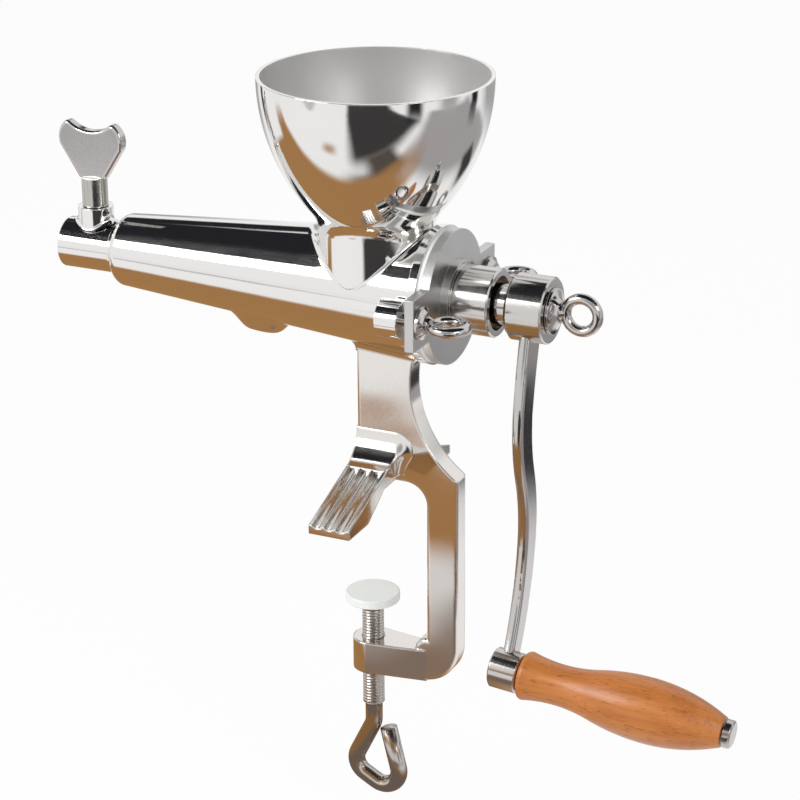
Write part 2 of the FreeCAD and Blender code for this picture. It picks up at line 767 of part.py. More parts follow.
flight = screw.newObject("PartDesign::AdditiveHelix", "flight")
flight.Profile = flight_sketch
flight.ReferenceAxis = (flight_sketch, ["H_Axis"])
flight.Mode = "pitch-height-angle"
bind(flight, "Pitch", flight_pitch)
bind(flight, "Height", screw_shoulder - screw_tip - flight_thickness)
bind(flight, "Angle", slope_angle(barrel_taper, as_size(1)))
keep("press_screw", screw)

# Crank: the boss on the shaft, the curved arm and the boss at its foot
keep("crank_boss", turned_x("crank_boss", [
    (crank_boss_start, shaft_radius),
    (crank_boss_start, crank_boss_radius - crank_boss_chamfer),
    (crank_boss_start + crank_boss_chamfer, crank_boss_radius),
    (crank_boss_end - hub_chamfer, crank_boss_radius),
    (crank_boss_end, crank_boss_radius - hub_chamfer),
    (crank_boss_end, bolt_radius + bolt_gap),
    (shaft_end, bolt_radius + bolt_gap),
    (shaft_end, shaft_radius),
]))
arm_x = crank_boss_start + crank_boss_length / 2
sway_curve = (arm_sway_at * arm_sway_at + arm_sway * arm_sway) / (arm_sway * 2)
cross_curve = (arm_cross_at - arm_sway_at) / sine(arm_lean)
swell_curve = (arm_swell_at - arm_cross_at) / sine(arm_lean)
arm_cross = cross_curve * (as_size(1) - cosine(arm_lean)) - arm_sway
arm_swell = swell_curve * (as_size(1) - cosine(arm_lean)) + arm_cross
foot_run = crank_radius - arm_swell_at
foot_curve = (foot_run * foot_run + arm_swell * arm_swell) / (arm_swell * 2)
straight = as_size(0)
stations = [
    (straight, straight, slope_angle(-arm_sway * 2, arm_sway_at), sway_curve, 1),
    (-arm_sway, arm_sway_at, straight, cross_curve, 1),
    (arm_cross, arm_cross_at, arm_lean, swell_curve, -1),
    (arm_swell, arm_swell_at, straight, foot_curve, -1),
    (straight, crank_radius, slope_angle(-arm_swell * 2, foot_run), foot_curve, -1),
]


def arm_edge(side):
    """One edge of the crank arm from top to foot: points, and the radius and side of each arc."""
    edge = []
    for sway, drop, lean, curve, centre_side in stations:
        half = (arm_top_width + (arm_foot_width - arm_top_width) * drop / crank_radius) / 2
        across = sway + half * cosine(lean) * side
        down = drop - half * sine(lean) * side
        edge.append((across, -down, curve - half * (side * centre_side), centre_side))
    return edge


left_edge = arm_edge(-1)
right_edge = arm_edge(1)
arm_outline = [(y, z, (curve, -centre)) for y, z, curve, centre in left_edge[:-1]]
arm_outline.append(left_edge[-1][:2])
climb = list(zip(reversed(right_edge[1:]), reversed(right_edge[:-1])))
arm_outline += [(low[0], low[1], (high[2], high[3])) for low, high in climb]
arm_outline.append(right_edge[0][:2])
arm = new_body("arm_form")
bind_place(arm, arm_x, axis_height)
arm_plate = pad(arm, "arm_form", "YZ_Plane", arm_outline, arm_thickness, -arm_thickness / 2)
round_edges(arm, "arm_form", arm_plate, arm_round, is_arc_across_x)
crank_boss_form = cylinder_x("crank_boss_form", crank_boss_radius, crank_boss_length, crank_boss_start)
grip_boss_form = new_body("grip_boss_form")
place_on_grip(grip_boss_form)
revolve(grip_boss_form, "grip_boss_form", [
    (-grip_boss_length / 2, 0),
    (-grip_boss_length / 2, grip_boss_radius - grip_boss_chamfer),
    (grip_boss_chamfer - grip_boss_length / 2, grip_boss_radius),
    (grip_boss_length / 2 - grip_boss_chamfer, grip_boss_radius),
    (grip_boss_length / 2, grip_boss_radius - grip_boss_chamfer),
    (grip_boss_length / 2, 0),
], "H_Axis")
keep("crank_arm", cut("crank_arm", arm, [crank_boss_form, grip_boss_form]))

# Wooden grip, turned to a waist and a belly, on a headed pin screwed into the grip boss
pin_end = grip_boss_length / 2 - pin_in_boss
grip_start = grip_boss_length / 2 + grip_gap
grip_end = grip_start + grip_length
head_start = grip_end + pin_head_gap
head_end = head_start + pin_head_length
pin = new_body("grip_pin")
place_on_grip(pin)
revolve(pin, "grip_pin", [
    (pin_end, 0),
    (pin_end, pin_radius),
    (head_start, pin_radius),
    (head_start, pin_head_radius),
    (head_end - pin_head_round, pin_head_radius, (pin_head_round, 1)),
    (head_end, pin_head_radius - pin_head_round),
    (head_end, 0),
], "H_Axis")
keep("grip_boss", cut("grip_boss", grip_boss_form, [pin]))
keep("grip_pin", pin)
waist_rise = grip_end_radius - grip_waist_radius
waist_curve = (grip_waist_at * grip_waist_at + waist_rise * waist_rise) / (waist_rise * 2)
swell_rise = grip_belly_radius - grip_waist_radius
swell_run = grip_belly_at - grip_waist_at
both_curves = (swell_run * swell_run + swell_rise * swell_rise) / (swell_rise * 2)
belly_curve = both_curves - waist_curve
tip_run = grip_length - grip_belly_at
tip_fall = grip_belly_radius - grip_tip_radius
tip_curve = (tip_run * tip_run + tip_fall * tip_fall) / (tip_fall * 2)
grip = new_body("wood_grip")
place_on_grip(grip)
grip_turned = revolve(grip, "wood_grip", [
    (grip_start, pin_radius + running_gap),
    (grip_start, grip_end_radius, (waist_curve, -1)),
    (grip_start + grip_waist_at + swell_run * waist_curve / both_curves,
     grip_waist_radius + swell_rise * waist_curve / both_curves, (belly_curve, 1)),
    (grip_start + grip_belly_at, grip_belly_radius, (tip_curve, 1)),
    (grip_end, grip_tip_radius),
    (grip_end, pin_radius + running_gap),
], "H_Axis")
round_edges(grip, "wood_grip", grip_turned, grip_edge_round,
            lambda edge: edge.BoundBox.XLength < SMALL
            and abs(edge.BoundBox.XMin - grip_start.number) < SMALL
            and edge.BoundBox.YLength > grip_end_radius.number)
keep("wood_grip", grip)


def eye_bolt(name, seat, y, standing):
    """An eye bolt along X whose eye stands upright or lies flat, made for a seat's face."""
    neck_end = eye_at - eye_radius
    shank = turned_x(name + "_shank", [
        (-bolt_length, 0),
        (-bolt_length, bolt_radius),
        (washer_height, bolt_radius),
        (neck_end, eye_wire),
        (neck_end, 0),
    ], seat, y)
    eye = doc.addObject("Part::Torus", name + "_eye")
    bind(eye, "Radius1", eye_radius)
    bind(eye, "Radius2", eye_wire)
    put(eye, seat + eye_at, y, axis_height)
    if standing:
        turn(eye, (1, 0, 0), 90)
    keep(name, fuse(name, [shank, eye]))


def dished_washer(name, seat, y, radius, height):
    """A flared collar under an eye bolt's neck."""
    keep(name, turned_x(name, [
        (0, bolt_radius + running_gap),
        (0, radius),
        (washer_rim, radius, (washer_flare, -1)),
        (height, washer_neck_radius),
        (height, bolt_radius + running_gap),
    ], seat + face_gap, y))


eye_bolt("front_cover_bolt", cover_face, -bolt_spread, False)
eye_bolt("back_cover_bolt", cover_face, bolt_spread, False)
eye_bolt("crank_bolt", crank_boss_end, 0, True)
dished_washer("front_bolt_washer", cover_face, -bolt_spread, small_washer_radius, small_washer_height)
dished_washer("back_bolt_washer", cover_face, bolt_spread, small_washer_radius, small_washer_height)
dished_washer("crank_bolt_washer", crank_boss_end, 0, washer_radius, washer_height)

# Clamp frame: leg, column and lower arm in one C, two fluted toes and the screw's boss
leg_top = axis_height - leg_sink
curve_centre = leg_waist_x + leg_curve
top_rise = leg_top - leg_waist_height
top_run = root(leg_curve * leg_curve - top_rise * top_rise)
shoulder_run = curve_centre - column_outside
shoulder_drop = root(leg_curve * leg_curve - shoulder_run * shoulder_run)
jaw_top = -jaw_arm_top
jaw_foot = -(jaw_arm_top + jaw_arm_height)
half_leg = leg_thickness / 2
frame = new_body("frame_form")
frame_plate = pad(frame, "frame_plate", "XZ_Plane", [
    (-leg_left, leg_top),
    (-leg_left, throat_top),
    (column_inside - throat_round, throat_top, (throat_round, 1)),
    (column_inside, throat_top - throat_round),
    (column_inside, jaw_top + jaw_inner_round, (jaw_inner_round, -1)),
    (column_inside - jaw_inner_round, jaw_top),
    (0, jaw_top),
    (0, jaw_foot),
    (column_outside - jaw_outer_round, jaw_foot, (jaw_outer_round, -1)),
    (column_outside, jaw_foot + jaw_outer_round),
    (column_outside, leg_waist_height - shoulder_drop, (leg_curve, 1)),
    (curve_centre - top_run, leg_top),
], leg_thickness, -half_leg)
round_edges(frame, "frame_plate", frame_plate, leg_round,
            lambda edge: edge.BoundBox.YLength < SMALL and edge.BoundBox.XMax > SMALL
            and edge.BoundBox.XMin > -SMALL and edge.BoundBox.ZMax < leg_top.number - SMALL
            or is_left_edge(edge))
pad(frame, "jaw_boss", "XY_Plane", [
    (0, -jaw_boss_radius),
    (column_inside, -half_leg),
    (column_inside, half_leg),
    (0, jaw_boss_radius, (jaw_boss_radius, -1)),
    (-jaw_boss_radius, 0, (jaw_boss_radius, -1)),
], jaw_arm_height, jaw_foot)
toe_inside = toe_reach - toe_sole
pad(frame, "toes", "YZ_Plane", [
    (toe_reach, 0),
    (toe_reach, toe_tip_height),
    (half_leg, toe_root_height),
    (-half_leg, toe_root_height),
    (-toe_reach, toe_tip_height),
    (-toe_reach, 0),
    (-toe_inside, 0),
    (-toe_arch_span, toe_arch_height),
    (toe_arch_span, toe_arch_height),
    (toe_inside, 0),
], toe_width, -leg_left)
toe_run = toe_reach - half_leg
toe_fall = toe_root_height - toe_tip_height
toe_slope = slope_angle(toe_fall, toe_run)
flutes = []
for side, tilt in ((-1, as_size(90) + toe_slope), (1, -(as_size(90) + toe_slope))):
    for number in range(FLUTES):
        place = toe_width / 2 - leg_left + flute_spacing * (number - (FLUTES - 1) / 2)
        lift = (flute_radius - flute_depth) / cosine(toe_slope)
        flutes.append(cylinder("flute_%d_%d" % (side + 1, number), flute_radius, toe_reach, place,
                               half_leg * side, toe_root_height + lift, (1, 0, 0), tilt))
clamp_hole = cylinder("clamp_hole", clamp_thread_radius + running_gap, jaw_arm_height * 2, 0, 0,
                      jaw_foot - jaw_arm_height / 2)
keep("clamp_frame", cut("clamp_frame", frame, [barrel_form, clamp_hole] + flutes))

# Clamp pad, and the clamp screw with its open loop
pad_foot = -(pad_drop + pad_thickness)
thread_top = pad_foot - pad_lift
thread_foot = thread_top - clamp_thread_length
pad_socket = clamp_tip_length + face_gap
keep("clamp_pad", turned_z("clamp_pad", [
    (clamp_tip_radius + running_gap, pad_foot),
    (pad_radius - pad_round, pad_foot, (pad_round, -1)),
    (pad_radius, pad_foot + pad_round),
    (pad_radius, -(pad_drop + pad_round), (pad_round, -1)),
    (pad_radius - pad_round, -pad_drop),
    (0, -pad_drop),
    (0, pad_foot + pad_socket),
    (clamp_tip_radius + running_gap, pad_foot + pad_socket),
]))
clamp_screw = new_body("clamp_screw", 0, 0, thread_foot)
tip_top = pad_foot + clamp_tip_length - thread_foot
revolve(clamp_screw, "clamp_screw", [
    (0, 0),
    (clamp_rod_radius, 0),
    (clamp_thread_radius, clamp_thread_radius - clamp_rod_radius),
    (clamp_thread_radius, clamp_thread_length),
    (clamp_tip_radius, clamp_thread_length),
    (clamp_tip_radius, tip_top),
    (0, tip_top),
], "V_Axis")
loop_points = [
    (as_size(0), -loop_start),
    (-loop_left, -loop_left_drop),
    (loop_right, -loop_right_drop),
    (loop_end_x, -loop_end_drop),
]
path_sketch = new_sketch(clamp_screw, "loop_path", "XZ_Plane")
path = [(0, 0)]
before = (as_size(0), as_size(0))
for number, radius in enumerate((loop_bend, loop_corner, loop_corner)):
    corner, after = loop_points[number], loop_points[number + 1]
    enter, leave, side = bend(before, corner, after, radius)
    enter = (0, enter[1]) if number == 0 else enter
    path += [(enter[0], enter[1], (radius, side)), leave]
    before = corner
path.append(loop_points[-1])
draw(path_sketch, path, closed=False)
rod_sketch = new_sketch(clamp_screw, "loop_section", "XY_Plane")
draw_circle(rod_sketch, 0, 0, clamp_rod_radius)
doc.recompute()
loop = clamp_screw.newObject("PartDesign::AdditivePipe", "loop")
loop.Profile = rod_sketch
loop.Spine = (path_sketch, ["Edge%d" % (number + 1) for number in range(len(path) - 1)])
keep("clamp_screw", clamp_screw)

# Build, test and write every piece
doc.recompute()
faults = [thing.Name for thing in doc.Objects if "Invalid" in thing.State or "Error" in thing.State]
for piece in pieces:
    if piece.Shape.isNull() or not piece.Shape.isValid():
        faults.append(piece.Label)
if faults:
    raise RuntimeError("These objects did not build: " + ", ".join(faults))
os.makedirs("parts", exist_ok=True)
for piece in pieces:
    piece.Shape.exportStep("parts/%s.step" % piece.Label)
    print("%-20s %8.0f cubic mm, %d solids" % (piece.Label, piece.Shape.Volume, len(piece.Shape.Solids)))
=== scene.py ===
"""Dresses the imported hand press: finishes, weld beads, a cut thread, studio light and the photo's camera.

Lengths are in metres, as in the frame, and angles in degrees.
"""
from math import cos, pi, radians, sin, sqrt, tau

import bmesh
import bpy
from mathutils import Matrix, Quaternion, Vector


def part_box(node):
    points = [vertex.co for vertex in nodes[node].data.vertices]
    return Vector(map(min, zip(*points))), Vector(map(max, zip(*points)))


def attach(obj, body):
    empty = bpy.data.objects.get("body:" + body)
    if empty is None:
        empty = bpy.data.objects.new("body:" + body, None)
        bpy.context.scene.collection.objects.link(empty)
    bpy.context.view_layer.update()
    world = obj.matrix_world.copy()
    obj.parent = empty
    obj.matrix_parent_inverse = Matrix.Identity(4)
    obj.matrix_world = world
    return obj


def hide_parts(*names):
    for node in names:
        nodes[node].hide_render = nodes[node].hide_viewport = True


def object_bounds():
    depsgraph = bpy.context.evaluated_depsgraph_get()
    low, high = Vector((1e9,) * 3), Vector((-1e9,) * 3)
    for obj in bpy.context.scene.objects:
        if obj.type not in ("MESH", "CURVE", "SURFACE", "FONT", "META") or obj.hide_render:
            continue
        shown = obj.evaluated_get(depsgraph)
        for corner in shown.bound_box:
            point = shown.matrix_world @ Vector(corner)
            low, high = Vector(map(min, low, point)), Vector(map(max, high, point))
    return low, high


MM = 0.001

# Camera, fitted to the photo; the lens and sensor are in Blender's millimetres
CAMERA_AZIMUTH = 25.04
CAMERA_ELEVATION = 21.48
CAMERA_ROLL = -0.34
CAMERA_DISTANCE = 1318.4 * MM
CAMERA_LENS = 113.06
CAMERA_SENSOR = 36.0
TARGET_ASIDE = 15.25 * MM
TARGET_HEIGHT = 51.34 * MM

# Sizes that match the CAD part
BARREL_SMALL = 19.8 * MM
BARREL_LARGE = 33.4 * MM
NECK_INSET = 0.8 * MM
LEG_LEFT = -5.5 * MM
LEG_RIGHT = 27.5 * MM
LEG_HALF = 6.0 * MM
TOE_ROOT = 25.0 * MM
TOE_TIP = 5.0 * MM
TOE_RIGHT = 17.5 * MM
TOE_ARCH = 14.5 * MM
SHANK_RADIUS = 6.0 * MM
SHANK_LENGTH = 59.0 * MM
LOOP_ROD = 4.75 * MM
SCREW_TIP = 7.5 * MM

# Welds, each the fillet that a ball of this radius leaves
NECK_WELD = 7.0 * MM
NECK_WELD_AT_FLANGE = 1.8 * MM
CHOKE_WELD = 3.0 * MM
LEG_WELD = 6.0 * MM
WELD_STEPS = 96
WELD_ARC_STEPS = 10
CORNER_STEPS = 12

# Drain bump: its radii, its drop below the barrel and how far its rim sinks in
DRAIN_BASE = 19.0 * MM
DRAIN_HOLE = 5.0 * MM
DRAIN_DROP = 7.0 * MM
DRAIN_SINK = 0.5 * MM
BUMP_STEPS = 24
BUMP_SHOULDER = 0.75

# Blend of each toe into the leg: its radius, the share left at its end and how far its back sinks in
TOE_BLEND = 13.0 * MM
TOE_BLEND_END = 0.35
TOE_SINK = 1.5 * MM
TOE_STEPS = 12

# Thread of the clamp screw
THREAD_PITCH = 1.75 * MM
THREAD_DEPTH = 0.75 * MM
THREAD_FLANK = 0.8
THREAD_SIDES = 48
THREAD_ROWS_PER_TURN = 10
SHANK_TOLERANCE = 0.05 * MM

# Mesh work: points nearer than a gap are joined, and edges from an angle on stay sharp
JOIN_GAP = 1e-6
FINE_JOIN_GAP = 1e-7
SHARP_ANGLE = 50.0

# Colours of the finishes
WHITE = (1.0, 1.0, 1.0)
STEEL = (0.80, 0.79, 0.775)
CASTING = (0.76, 0.735, 0.71)
DULL = (0.56, 0.54, 0.53)
BRUSHED = (0.60, 0.58, 0.56)
PLATING = (0.50, 0.48, 0.455)
COVER = (0.62, 0.62, 0.615)
BRONZE = (0.62, 0.43, 0.2)

# Noise: the range in which most of its values lie, and scales per metre
NOISE_LOW = 0.3
NOISE_HIGH = 0.7
CLOUD_SCALE = 35.0
DENT_SCALE = 38.0
CASTING_SCALE = 16.0
EVEN = (1, 1, 1)
EVEN_GRAIN = (900, 900, 900)
ROUND_X_GRAIN = (1800, 120, 120)
ROUND_Z_GRAIN = (120, 120, 1800)
GRAIN_DETAIL = 4.0
GRAIN_LOW = 0.12
GRAIN_HIGH = 0.4
BEVEL_SAMPLES = 6

# White plastic
PLASTIC_SCALE = 160.0
PLASTIC_TONES = [(NOISE_LOW, (0.79, 0.82, 0.79)), (NOISE_HIGH, (0.84, 0.86, 0.84))]
PLASTIC_SHINE = (0.32, 0.48)
PLASTIC_SCATTER = 0.15
PLASTIC_DEPTH = 2.0 * MM
PLASTIC_GRAIN = 0.04 * MM
PLASTIC_EDGE = 0.4 * MM

# Varnished wood
STREAK_SCALE = (9, 230, 230)
BAND_SCALE = (5, 42, 42)
RAY_SCALE = (150, 1100, 1100)
STREAK_DETAIL = 6.0
STREAK_ROUGHNESS = 0.6
STREAK_TONES = [(0.25, (0.44, 0.130, 0.022)), (0.5, (0.56, 0.190, 0.036)), (0.75, (0.66, 0.255, 0.058))]
BAND_TONES = [(NOISE_LOW, (0.86, 0.80, 0.74)), (NOISE_HIGH, WHITE)]
RAY_TONES = [(0.60, WHITE), (0.70, (0.66, 0.55, 0.47))]
BAND_DETAIL = 2.0
WOOD_SHINE = (0.34, 0.48)
WOOD_GRAIN = 0.05 * MM
VARNISH = 0.35
VARNISH_ROUGHNESS = 0.22

# Inside of the hopper
HOPPER_INSIDE_SHINE = (0.34, 0.46)
HOPPER_INSIDE_METAL = 0.55
HOPPER_INSIDE_TONE = (0.60, 0.59, 0.58)
HOPPER_TURNOVER = -0.1 * MM

# Sockets of a mix node, by place
MIX_NUMBERS = (2, 3)
MIX_NUMBER_OUT = 0
MIX_COLOURS = (6, 7)
MIX_COLOUR_OUT = 2

# Studio
FOCUS = Vector((0, 0, 60.0 * MM))
FLOOR_SPAN = 6000.0 * MM
FLOOR_GAP = 22.0 * MM
FLOOR_TONE = (0.9, 0.9, 0.9)
FLOOR_ROUGHNESS = 0.9
FLOOR_WHITE = 0.93
WORLD_LIGHT = 0.55
CARD_RISE = 21.0 * MM
LAYER_RISE = 0.2 * MM
TABLE_LIFT = 120.0 * MM
CARD_MIDDLE = 0.5

# Tones of the cards that the metal reflects
TAN = (0.42, 0.22, 0.085)
BLACK = (0.02, 0.02, 0.024)
PALE = (0.42, 0.42, 0.425)
LIGHT = (0.62, 0.62, 0.63)
DIM = (0.40, 0.385, 0.39)
BROWN = (0.25, 0.19, 0.155)
UMBER = (0.10, 0.08, 0.07)
PATCH = (0.52, 0.37, 0.27)
SHADE = (0.05, 0.048, 0.048)

# Lamps: name, azimuth, elevation, distance, width and height, power in watts
LAMPS = [
    ("key", -40, 34, 1.6, (0.9, 0.9), 16.0),
    ("fill", 60, 30, 1.8, (0.7, 1.0), 7.0),
]

# Cards that face the object: name, azimuth, elevation, distance, width and height, tone, soft share
CARDS = [
    ("ceiling", 0, 80, 1.02, (3.2, 1.77), BLACK, 0.05),
    ("back_flag", -135, 38, 1.3, (1.0, 0.45), BLACK, 0.2),
    ("front_wall", 14, 16, 0.78, (0.80, 0.52), PALE, 0.3),
    ("right_flag", 62, 2, 0.76, (0.30, 0.56), BLACK, 0.35),
    ("right_wall", 98, 2, 0.75, (0.46, 0.5), PALE, 0.4),
    ("right_back_flag", 131, 2, 0.75, (0.2, 0.5), BLACK, 0.35),
    ("back_wall", 172, 2, 0.8, (0.95, 0.5), PALE, 0.3),
    ("left_flag", -112, 2, 0.75, (0.10, 0.5), BLACK, 0.3),
    ("left_wall", -135, 2, 0.75, (0.4, 0.5), PALE, 0.3),
]

# Cards that lie flat: name, height above the floor, lowest and highest (x, y), tone, soft share
FLOOR_CARDS = [
    ("leg_patch", CARD_RISE, (-0.34, -0.57), (-0.11, -0.41), PATCH, 0.45),
    ("back_floor", CARD_RISE, (0.1, 0.30), (0.8, 1.0), PALE, 0.25),
    ("wing_floor", CARD_RISE + LAYER_RISE, (-1.15, -1.3), (-0.72, -0.92), LIGHT, 0.2),
    ("right_floor", CARD_RISE + LAYER_RISE, (0.25, -0.35), (1.3, 0.9), DIM, 0.15),
    ("front_shade", CARD_RISE + 2 * LAYER_RISE, (-0.08, -1.6), (0.95, -0.3), SHADE, 0.12),
    ("table_below", CARD_RISE + 3 * LAYER_RISE, (-0.8, -0.22), (0.12, 0.36), TAN, 0.1),
    ("leg_shade", CARD_RISE + 3 * LAYER_RISE, (0.14, 0.38), (0.42, 0.68), SHADE, 0.3),
    ("table_front", CARD_RISE + 4 * LAYER_RISE, (-0.14, -0.36), (0.3, -0.06), BROWN, 0.35),
    ("screw_floor", CARD_RISE + 4 * LAYER_RISE, (-0.075, -0.058), (0.055, 0.05), BROWN, 0.2),
    ("hopper_shade", CARD_RISE + 5 * LAYER_RISE, (0.04, -0.48), (0.42, -0.14), UMBER, 0.3),
    ("table_edge", CARD_RISE + 5 * LAYER_RISE + TABLE_LIFT, (-1.0, -0.225), (0.5, -0.05), TAN, 0.28),
]

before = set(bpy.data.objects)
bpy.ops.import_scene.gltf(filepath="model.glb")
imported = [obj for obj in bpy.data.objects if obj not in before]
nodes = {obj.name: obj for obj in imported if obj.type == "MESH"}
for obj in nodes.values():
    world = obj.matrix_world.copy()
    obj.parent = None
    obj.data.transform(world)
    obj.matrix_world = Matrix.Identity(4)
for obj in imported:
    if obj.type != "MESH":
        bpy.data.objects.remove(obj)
cad_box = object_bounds()

# Places read from the frame
floor_level = cad_box[0][2] - FLOOR_GAP
barrel_low, barrel_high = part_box("barrel")
hopper_low, hopper_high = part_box("hopper")
collar_low, collar_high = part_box("choke_boss")
drain_low, drain_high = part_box("juice_drain")
nozzle_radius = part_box("outlet_nozzle")[1].y
toe_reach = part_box("clamp_frame")[1].y
thread_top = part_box("clamp_screw")[1].z - SCREW_TIP
thread_foot = thread_top - SHANK_LENGTH + SHANK_RADIUS - LOOP_ROD
axis_height = (barrel_low.z + barrel_high.z) / 2
hopper_x = (hopper_low.x + hopper_high.x) / 2
collar_x = (collar_low.x + collar_high.x) / 2
drain_x = (drain_low.x + drain_high.x) / 2
barrel_taper = (BARREL_LARGE - BARREL_SMALL) / (barrel_high.x - barrel_low.x)


def new_material(name):
    """A node material, its tree and its shader."""
    material = bpy.data.materials.new(name)
    material.use_nodes = True
    tree = material.node_tree
    shader = tree.nodes["Principled BSDF"]
    return material, tree, shader


def add_node(tree, kind, **values):
    """One node, with its properties or input values set by name."""
    node = tree.nodes.new(kind)
    for name, value in values.items():
        if hasattr(node, name):
            setattr(node, name, value)
        else:
            node.inputs[name.replace("_", " ").title()].default_value = value
    return node


def maths(tree, operation, first, second=None):
    """The result of a math node on a socket and, if one is given, a second socket or a number."""
    node = add_node(tree, "ShaderNodeMath", operation=operation)
    tree.links.new(first, node.inputs[0])
    if isinstance(second, float):
        node.inputs[1].default_value = second
    elif second is not None:
        tree.links.new(second, node.inputs[1])
    return node.outputs["Value"]


def coordinates(tree, scale):
    """Object coordinates, stretched by a scale along each axis."""
    place = add_node(tree, "ShaderNodeTexCoord")
    mapping = add_node(tree, "ShaderNodeMapping", scale=scale)
    tree.links.new(place.outputs["Object"], mapping.inputs["Vector"])
    return mapping.outputs["Vector"]


def noise(tree, vector, scale=1.0, detail=3.0, roughness=0.5):
    """A noise texture's value on a vector."""
    node = add_node(tree, "ShaderNodeTexNoise", scale=scale, detail=detail, roughness=roughness)
    tree.links.new(vector, node.inputs["Vector"])
    return node.outputs["Fac"]


def spread(tree, value, low, high, start=NOISE_LOW, end=NOISE_HIGH):
    """Maps a value between start and end onto the range from low to high."""
    node = add_node(tree, "ShaderNodeMapRange", from_min=start, from_max=end, to_min=low, to_max=high)
    tree.links.new(value, node.inputs["Value"])
    return node.outputs["Result"]


def ramp(tree, value, stops):
    """A colour ramp on a value, from stops of (place, colour)."""
    node = add_node(tree, "ShaderNodeValToRGB")
    elements = node.color_ramp.elements
    while len(elements) < len(stops):
        elements.new(1.0)
    for element, (place, colour) in zip(elements, stops):
        element.position = place
        element.color = (*colour, 1.0)
    tree.links.new(value, node.inputs["Fac"])
    return node.outputs["Color"]


def multiply_colours(tree, first, second):
    """The product of two colours."""
    node = add_node(tree, "ShaderNodeMix", data_type="RGBA", blend_type="MULTIPLY", factor=1.0)
    for place, colour in zip(MIX_COLOURS, (first, second)):
        tree.links.new(colour, node.inputs[place])
    return node.outputs[MIX_COLOUR_OUT]


def mix_numbers(tree, share, first, second):
    """A number that goes from the first to the second as the share goes from 0 to 1."""
    node = add_node(tree, "ShaderNodeMix", data_type="FLOAT")
    tree.links.new(share, node.inputs["Factor"])
    for place, number in zip(MIX_NUMBERS, (first, second)):
        tree.links.new(number, node.inputs[place])
    return node.outputs[MIX_NUMBER_OUT]


def bump(tree, value, height, normal=None):
    """A bump of a height, on top of another normal if one is given."""
    node = add_node(tree, "ShaderNodeBump", strength=1.0, distance=height)
    tree.links.new(value, node.inputs["Height"])
    if normal is not None:
        tree.links.new(normal, node.inputs["Normal"])
    return node.outputs["Normal"]


def soft_edge(tree, radius):
    """A normal that rounds hard edges by a radius."""
    return add_node(tree, "ShaderNodeBevel", radius=radius, samples=BEVEL_SAMPLES).outputs["Normal"]


def metal(name, colour, shine, grain, dents, edge, stretch=EVEN_GRAIN, dent_scale=DENT_SCALE):
    """A metal with brushed or cloudy roughness, fine grain, faint dents and rounded edges.

    shine is the lowest and highest roughness, grain and dents are bump heights, edge is the
    edges' radius, and stretch is the grain's scale along each axis.
    """
    material, tree, shader = new_material(name)
    shader.inputs["Metallic"].default_value = 1.0
    shader.inputs["Base Color"].default_value = (*colour, 1.0)
    clouds = noise(tree, coordinates(tree, EVEN), CLOUD_SCALE)
    lines = noise(tree, coordinates(tree, stretch), detail=GRAIN_DETAIL)
    mixed = maths(tree, "MULTIPLY", clouds, lines)
    tree.links.new(spread(tree, mixed, *shine, GRAIN_LOW, GRAIN_HIGH), shader.inputs["Roughness"])
    waves = noise(tree, coordinates(tree, EVEN), dent_scale, detail=1.0)
    normal = bump(tree, lines, grain, soft_edge(tree, edge))
    tree.links.new(bump(tree, waves, dents, normal), shader.inputs["Normal"])
    return material


def white_plastic_material():
    """White nylon: faintly uneven and slightly waxy."""
    material, tree, shader = new_material("white_plastic")
    clouds = noise(tree, coordinates(tree, EVEN), PLASTIC_SCALE, GRAIN_DETAIL)
    tree.links.new(ramp(tree, clouds, PLASTIC_TONES), shader.inputs["Base Color"])
    tree.links.new(spread(tree, clouds, *PLASTIC_SHINE), shader.inputs["Roughness"])
    shader.inputs["Subsurface Weight"].default_value = PLASTIC_SCATTER
    shader.inputs["Subsurface Radius"].default_value = (PLASTIC_DEPTH, PLASTIC_DEPTH, PLASTIC_DEPTH)
    normal = bump(tree, clouds, PLASTIC_GRAIN, soft_edge(tree, PLASTIC_EDGE))
    tree.links.new(normal, shader.inputs["Normal"])
    return material


def wood_material():
    """Varnished beech: long streaks, wide bands, short dark rays and a clear coat."""
    material, tree, shader = new_material("varnished_wood")
    streaks = noise(tree, coordinates(tree, STREAK_SCALE), detail=STREAK_DETAIL, roughness=STREAK_ROUGHNESS)
    colour = ramp(tree, streaks, STREAK_TONES)
    for scale, tones in ((BAND_SCALE, BAND_TONES), (RAY_SCALE, RAY_TONES)):
        layer = ramp(tree, noise(tree, coordinates(tree, scale), detail=BAND_DETAIL), tones)
        colour = multiply_colours(tree, colour, layer)
    tree.links.new(colour, shader.inputs["Base Color"])
    tree.links.new(spread(tree, streaks, *WOOD_SHINE), shader.inputs["Roughness"])
    tree.links.new(bump(tree, streaks, WOOD_GRAIN), shader.inputs["Normal"])
    shader.inputs["Coat Weight"].default_value = VARNISH
    shader.inputs["Coat Roughness"].default_value = VARNISH_ROUGHNESS
    return material


